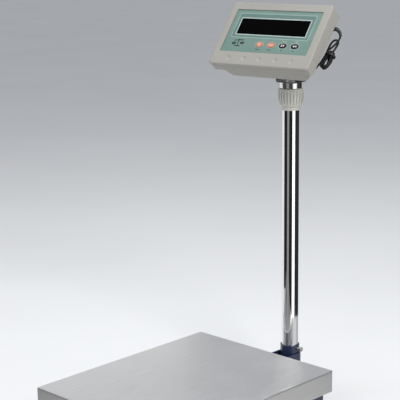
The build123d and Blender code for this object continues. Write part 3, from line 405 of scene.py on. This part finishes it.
# ---------------------------------------------------------------- signal cable
CABLE_D = 4.4
GLAND_MOUTH = (115.0, 52.0, 46.0)
CABLE_OUT = [(119.5, 52.0, 46.0), (125.5, 52.0, 46.0), (130.5, 50.5, 49.5), (134.5, 46.5, 53.5),
             (136.3, 40.5, 57.0), (134.5, 32.5, 59.0), (129.8, 22.5, 60.0), (124.0, 14.0, 60.0),
             (118.5, 6.0, 59.5), (117.0, -4.0, 59.4)]
CABLE_BACK = [(125.0, -2.0, 64.2), (128.5, 9.0, 65.0), (130.0, 20.0, 66.0), (130.4, 29.2, 67.0),
              (126.5, 36.7, 68.0), (118.5, 39.3, 69.0), (111.0, 35.3, 70.5), (107.0, 26.8, 73.0),
              (103.4, 16.4, 77.1), (97.4, 6.0, 83.7), (88.4, -2.4, 92.3), (77.0, -9.8, 101.0),
              (65.0, -15.0, 109.5), (53.0, -17.6, 116.0), (41.0, -18.3, 120.0), (29.5, -18.2, 121.2)]
HANK_AT = (126.0, -18.0)
HANK_DEPTHS = (54.4, 66.6)
HANK_LEAN = math.radians(9)
HANK_TURNS = 3
TURN_POINTS = 14
HANK_HALF_W, HANK_HALF_L = 9.4, 19.5
TIE_ALONG, TIE_DEPTH = 12.5, 60.5
TIE_HALF_W, TIE_HALF_T, TIE_HALF_BAND, TIE_SHEET = 9.0, 9.6, 2.4, 1.1
BOOT_LENGTH, BOOT_R, BOOT_TAPER, BOOT_RIB, BOOT_RIBS = 30.0, 5.0, 2.3, 0.45, 6.5


def hank_point(p, q, n):
    """A point of the hank: p across it, q along it towards its top, at depth n."""
    x = HANK_AT[0] + p * math.cos(HANK_LEAN) + q * math.sin(HANK_LEAN)
    v = HANK_AT[1] + q * math.cos(HANK_LEAN) - p * math.sin(HANK_LEAN)
    return x, v, n


def hank_route():
    """Loose turns, each a little different, drawn together where the tie holds them."""
    route = []
    total = HANK_TURNS * TURN_POINTS + TURN_POINTS // 2 - 2
    for step in range(1, total):
        turns = step / TURN_POINTS
        angle = math.pi + 2 * math.pi * turns
        half_w = HANK_HALF_W + 1.2 * math.sin(2.3 * turns)
        half_l = HANK_HALF_L + 2.6 * math.sin(2.9 * turns + 0.6)
        q = half_l * math.sin(angle)
        pinch = 1 - 0.42 * math.exp(-(((q - 11) / 6.5) ** 2))
        p = half_w * math.cos(angle) * pinch
        depth = HANK_DEPTHS[0] + (HANK_DEPTHS[1] - HANK_DEPTHS[0]) * step / total
        route.append(hank_point(p, q, depth))
    return route


def smooth_line(points):
    """The points along the NURBS spline that has these control points."""
    curve = bpy.data.curves.new("route", "CURVE")
    curve.dimensions = "3D"
    curve.resolution_u = 10
    spline = curve.splines.new("NURBS")
    spline.points.add(len(points) - 1)
    for control, point in zip(spline.points, points):
        control.co = (*point, 1)
    spline.order_u = 3
    spline.use_endpoint_u = True
    obj = bpy.data.objects.new("route", curve)
    bpy.context.scene.collection.objects.link(obj)
    line = bpy.data.meshes.new_from_object(obj)
    path = [vertex.co.copy() for vertex in line.vertices]
    bpy.data.objects.remove(obj)
    bpy.data.meshes.remove(line)
    return path


def make_boot(path):
    """The strain relief: a ribbed boot that tapers along the cable's first stretch."""
    boot_path, radii, run = [], [], 0.0
    for before, point in zip(path, path[1:]):
        run += (point - before).length
        share = run / (BOOT_LENGTH * MM)
        if share > 1:
            break
        rib = BOOT_RIB if math.sin(share * 2 * math.pi * BOOT_RIBS) > 0 else 0.0
        boot_path.append(point)
        radii.append((BOOT_R - BOOT_TAPER * share + rib) * MM)
    boot = swept("cable_strain_relief", boot_path, radii, 24, "black_plastic", "indicator")
    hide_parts("cable_boot")
    return boot


def make_tie():
    """A flat band round the hank, its cross-section a squared-off oval."""
    bm = bmesh.new()
    rim = 28
    low, high = TIE_ALONG - TIE_HALF_BAND, TIE_ALONG + TIE_HALF_BAND
    loops = []
    for grow, q in ((0.0, low), (TIE_SHEET, low), (TIE_SHEET, high), (0.0, high)):
        loop = []
        for k in range(rim):
            angle = 2 * math.pi * k / rim
            cos_a, sin_a = math.cos(angle), math.sin(angle)
            p = math.copysign(abs(cos_a) ** 0.55, cos_a) * (TIE_HALF_W + grow)
            n = TIE_DEPTH + math.copysign(abs(sin_a) ** 0.55, sin_a) * (TIE_HALF_T + grow)
            loop.append(bm.verts.new(in_face(*hank_point(p, q, n))))
        loops.append(loop)
    for a, b in zip(loops, loops[1:] + loops[:1]):
        for k in range(rim):
            m = (k + 1) % rim
            bm.faces.new((a[k], a[m], b[m], b[k]))
    tie = piece("cable_tie_band", bm, "black_plastic", "indicator")
    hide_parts("cable_tie")
    return tie


def make_cable():
    route = [GLAND_MOUTH] + CABLE_OUT + hank_route() + CABLE_BACK
    path = smooth_line([in_face(*point) for point in route])
    radius = CABLE_D / 2 * MM
    cable = swept("signal_cable", path, [radius] * len(path), 16, "cable_jacket")
    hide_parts("cable_out", "cable_back", "cable_hank")
    boot = make_boot(path)
    tie = make_tie()
    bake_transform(cable)


make_cable()

# ---------------------------------------------------------------- print on the overlay, and painted shade along its edge
OVERLAY_N = 1.4
PRINT_FRONT, PRINT_BACK = OVERLAY_N - 0.06, OVERLAY_N + 0.1
OVERLAY_W, OVERLAY_H, OVERLAY_V = 228.0, 110.0, 7.4
WINDOW_W, WINDOW_H, WINDOW_X, WINDOW_V = 181.5, 40.5, 0.0, 19.3
KEY_X = [-17.0, 14.0, 45.0, 76.0]
KEY_V = -26.4
KEY_FACE_N = 0.4
KEY_RIM_OUTER, KEY_RIM_INNER = (11.5, 8.0), (10.5, 7.0)
PRINTED_LINE_TOP, PRINTED_LINE_SIDE, PRINTED_LINE_BELOW = 8.5, 12.0, 9.5


def print_and_shade_ring(name, x, v, outer, inner, corners, material):
    return ring(name, outline(x, v, *outer, corners[0]), outline(x, v, *inner, corners[1]),
                PRINT_FRONT, PRINT_BACK, material, "indicator")


def make_overlay_print_and_shade():
    seat = (WINDOW_W + 0.6, WINDOW_H + 0.6)
    border = (WINDOW_W + 5.4, WINDOW_H + 5.4)
    print_and_shade_ring("window_border", WINDOW_X, WINDOW_V, border, seat, (1.6, 0.4), "pale_print")
    top = OVERLAY_V + OVERLAY_H / 2 - PRINTED_LINE_TOP
    bottom = WINDOW_V - WINDOW_H / 2 - PRINTED_LINE_BELOW
    line_w = OVERLAY_W - 2 * PRINTED_LINE_SIDE
    line_h = top - bottom
    middle = (top + bottom) / 2
    print_and_shade_ring("printed_line", 0, middle, (line_w, line_h), (line_w - 3.6, line_h - 3.6), (3, 1.6),
                 "light_teal_print")
    band_outer = outline(0, middle, line_w - 3.6, line_h - 3.6, 1.6)
    band_inner = outline(WINDOW_X, WINDOW_V, *border, 1.6)
    ring("window_band", band_outer, band_inner, PRINT_FRONT, PRINT_BACK, "deep_teal_print_and_painted_shade", "indicator")
    # painted shade: a deep teal ring along the overlay's edge darkens it where the recess shades it
    print_and_shade_ring("overlay_painted_shade_rim", 0, OVERLAY_V, (OVERLAY_W - 0.6, OVERLAY_H - 0.6),
                 (OVERLAY_W - 2.6, OVERLAY_H - 2.6), (2, 1.2), "deep_teal_print_and_painted_shade")


def bar(x, v, width, height, lean=0.0):
    """A short straight mark, turned by lean degrees."""
    angle = math.radians(lean)
    half_w, half_h = width / 2, height / 2
    corners = [(-half_w, -half_h), (half_w, -half_h), (half_w, half_h), (-half_w, half_h)]
    return [(x + a * math.cos(angle) - b * math.sin(angle), v + a * math.sin(angle) + b * math.cos(angle))
            for a, b in corners]


def arrow(x, v, size, direction):
    """A small triangle that points left (-1) or right (+1)."""
    return [(x - direction * size / 2, v - size * 0.6), (x + direction * size / 2, v),
            (x - direction * size / 2, v + size * 0.6)][::direction]


def half_disc(x, v, radius):
    """A balance pan: the lower half of a disc."""
    count = 14
    angles = [math.pi + math.pi * i / count for i in range(count + 1)]
    return [(x + radius * math.cos(angle), v + radius * math.sin(angle)) for angle in angles]


def make_marks():
    front, back = PRINT_FRONT - 0.02, PRINT_BACK
    # a plain balance pictogram in the lower left of the overlay
    x, v = -75.0, -23.7
    icon = [
        bar(x, v - 0.5, 2.2, 15), bar(x, v - 8.6, 15, 2.4), bar(x, v + 6.4, 25, 2.2, 5),
        bar(x - 10.8, v + 2.6, 1.0, 5.8, 0), bar(x + 10.8, v + 4.2, 1.0, 6.0, 0),
        half_disc(x - 10.8, v + 0.4, 6.2), half_disc(x + 10.8, v + 1.8, 6.2),
        ellipse(x, v + 7.4, 2.2, 2.2, 16),
    ]
    slabs("balance_pictogram", icon, front, back, "dark_print", "indicator")
    # plain dashes where the keys are labelled
    dark = [bar(KEY_X[0], KEY_V - 12.0, 10, 1.5), bar(KEY_X[1], KEY_V - 12.0, 10, 1.5),
            bar(KEY_X[2], KEY_V - 11.6, 4, 1.5), bar(KEY_X[3], KEY_V - 11.6, 4, 1.5)]
    slabs("label_dashes", dark, front, back, "dark_print", "indicator")
    pale = [bar(KEY_X[2] - 3.4, KEY_V + 12.0, 4.6, 1.3), bar(KEY_X[2] + 3.4, KEY_V + 12.0, 4.6, 1.3),
            bar(KEY_X[3], KEY_V + 12.0, 7, 1.3)]
    slabs("pale_dashes", pale, front, back, "pale_print", "indicator")
    for number, x in enumerate(KEY_X, 1):
        rim = "light_teal_print" if number < 3 else "pale_print"
        outer, inner = ellipse(x, KEY_V, *KEY_RIM_OUTER), ellipse(x, KEY_V, *KEY_RIM_INNER)
        ring(f"key_rim_{number}", outer, inner, PRINT_FRONT, PRINT_BACK, rim, "indicator")


def make_key_marks():
    front, back = KEY_FACE_N - 0.05, KEY_FACE_N + 0.3
    x1, x2, x3, x4 = KEY_X
    power = [bar(x1, KEY_V + 1.9, 1.0, 3.2)]
    slabs("key_1_mark", power, front, back, "peach_print", "key_1")
    ring("key_1_ring", ellipse(x1, KEY_V, 3.6, 3.2), ellipse(x1, KEY_V, 2.6, 2.2), front, back, "peach_print",
         "key_1")
    meeting = [arrow(x2 - 3.2, KEY_V, 3.2, 1), arrow(x2 + 3.2, KEY_V, 3.2, -1), bar(x2, KEY_V, 1.0, 5.2)]
    slabs("key_2_mark", meeting, front, back, "peach_print", "key_2")
    bars = [bar(x3 - 2.4, KEY_V, 1.7, 5.2, -18), bar(x3 + 2.6, KEY_V, 1.7, 5.2, -18)]
    slabs("key_3_mark", bars, front, back, "white_print", "key_3")
    pair = [arrow(x4 - 2.6, KEY_V, 4.0, -1), arrow(x4 + 2.8, KEY_V, 4.0, -1)]
    slabs("key_4_mark", pair, front, back, "white_print", "key_4")


make_overlay_print_and_shade()
make_marks()
make_key_marks()


# ---------------------------------------------------------------- studio
FLOOR_SIZE = 90.0
CARD_RADIUS = 1.3
CARD_HIGH = 0.75
CARD_STEP = 6
# reflection cards round the column: from and to in degrees to the right of the camera, low and high
# edges, and brightness; the last two face the pan's skirts
CARDS = [
    (-165, -97, -0.45, CARD_HIGH, 0.9),
    (-97, -47, -0.12, CARD_HIGH, 0.02),
    (-47, -20, -0.45, CARD_HIGH, 0.30),
    (-20, 24, -0.45, CARD_HIGH, 0.02),
    (24, 62, -0.22, CARD_HIGH, 1.6),
    (62, 165, -0.22, CARD_HIGH, 0.03),
    (-97, -47, -0.60, -0.12, 0.55),
    (45, 100, -0.70, -0.22, 0.72),
]


def stage_material(name, colour, rough):
    look = Look(name, roughness=rough, specular_ior_level=0.2)
    low = tuple(0.97 * c for c in colour)
    look.link(look.between(look.noise(1.5, 2), low, colour), "Base Color")
    return look.material


def make_floor():
    mesh = bpy.data.meshes.new("floor")
    half = FLOOR_SIZE / 2
    corners = [(-half, -half, 0), (half, -half, 0), (half, half, 0), (-half, half, 0)]
    mesh.from_pydata(corners, [], [(0, 1, 2, 3)])
    floor = bpy.data.objects.new("floor", mesh)
    bpy.context.scene.collection.objects.link(floor)
    mesh.materials.append(stage_material("floor_paper", (0.78, 0.79, 0.80), 0.8))
    floor.visible_glossy = False


def glowing(name, brightness):
    """A plain white emitter."""
    material = bpy.data.materials.new(name)
    material.use_nodes = True
    tree = material.node_tree
    tree.nodes.clear()
    glow = tree.nodes.new("ShaderNodeEmission")
    glow.inputs["Color"].default_value = (1, 1, 1, 1)
    glow.inputs["Strength"].default_value = brightness
    out = tree.nodes.new("ShaderNodeOutputMaterial")
    tree.links.new(glow.outputs["Emission"], out.inputs["Surface"])
    return material


def make_cards():
    """Cards that only reflections see; they give the chrome and the pan something to mirror."""
    toward_camera = math.atan2(CAMERA_AT.y - COLUMN_Y, CAMERA_AT.x - COLUMN_X)
    for number, (start, stop, low, high, brightness) in enumerate(CARDS, 1):
        points, faces = [], []
        steps = max(2, int((stop - start) / CARD_STEP))
        for i in range(steps + 1):
            angle = toward_camera + math.radians(start + (stop - start) * i / steps)
            x = COLUMN_X + CARD_RADIUS * math.cos(angle)
            y = COLUMN_Y + CARD_RADIUS * math.sin(angle)
            points += [(x, y, low), (x, y, high)]
            if i:
                faces.append((2 * i - 2, 2 * i, 2 * i + 1, 2 * i - 1))
        mesh = bpy.data.meshes.new(f"card_{number}")
        mesh.from_pydata(points, [], faces)
        card = bpy.data.objects.new(f"card_{number}", mesh)
        bpy.context.scene.collection.objects.link(card)
        mesh.materials.append(glowing(f"card_{number}", brightness))
        card.visible_camera = False
        card.visible_diffuse = False
        card.visible_shadow = False
        card.visible_transmission = False
        card.visible_volume_scatter = False


def area_light(name, location, target, size, power, colour=(1, 1, 1)):
    data = bpy.data.lights.new(name, "AREA")
    data.shape = "DISK"
    data.size = size
    data.energy = power
    data.color = colour
    light = bpy.data.objects.new(name, data)
    bpy.context.scene.collection.objects.link(light)
    light.location = location
    light.rotation_euler = (Vector(target) - Vector(location)).to_track_quat("-Z", "Y").to_euler()


def make_lights():
    area_light("key_light", (2.6, -0.9, 2.3), (0, 0, 0.5), 1.2, 70, (1.0, 0.985, 0.96))
    area_light("fill_light", (-2.2, -2.4, 1.8), (0, 0, 0.4), 2.0, 22, (0.96, 0.98, 1.0))
    area_light("top_light", (-0.2, 0.4, 3.0), (0, 0, 0.3), 2.4, 40)
    world = bpy.data.worlds.new("studio")
    world.use_nodes = True
    background = world.node_tree.nodes["Background"]
    background.inputs["Color"].default_value = (0.86, 0.88, 0.92, 1)
    background.inputs["Strength"].default_value = 0.55
    bpy.context.scene.world = world
    bpy.context.scene.view_settings.view_transform = "Standard"


make_floor()
make_cards()
make_lights()
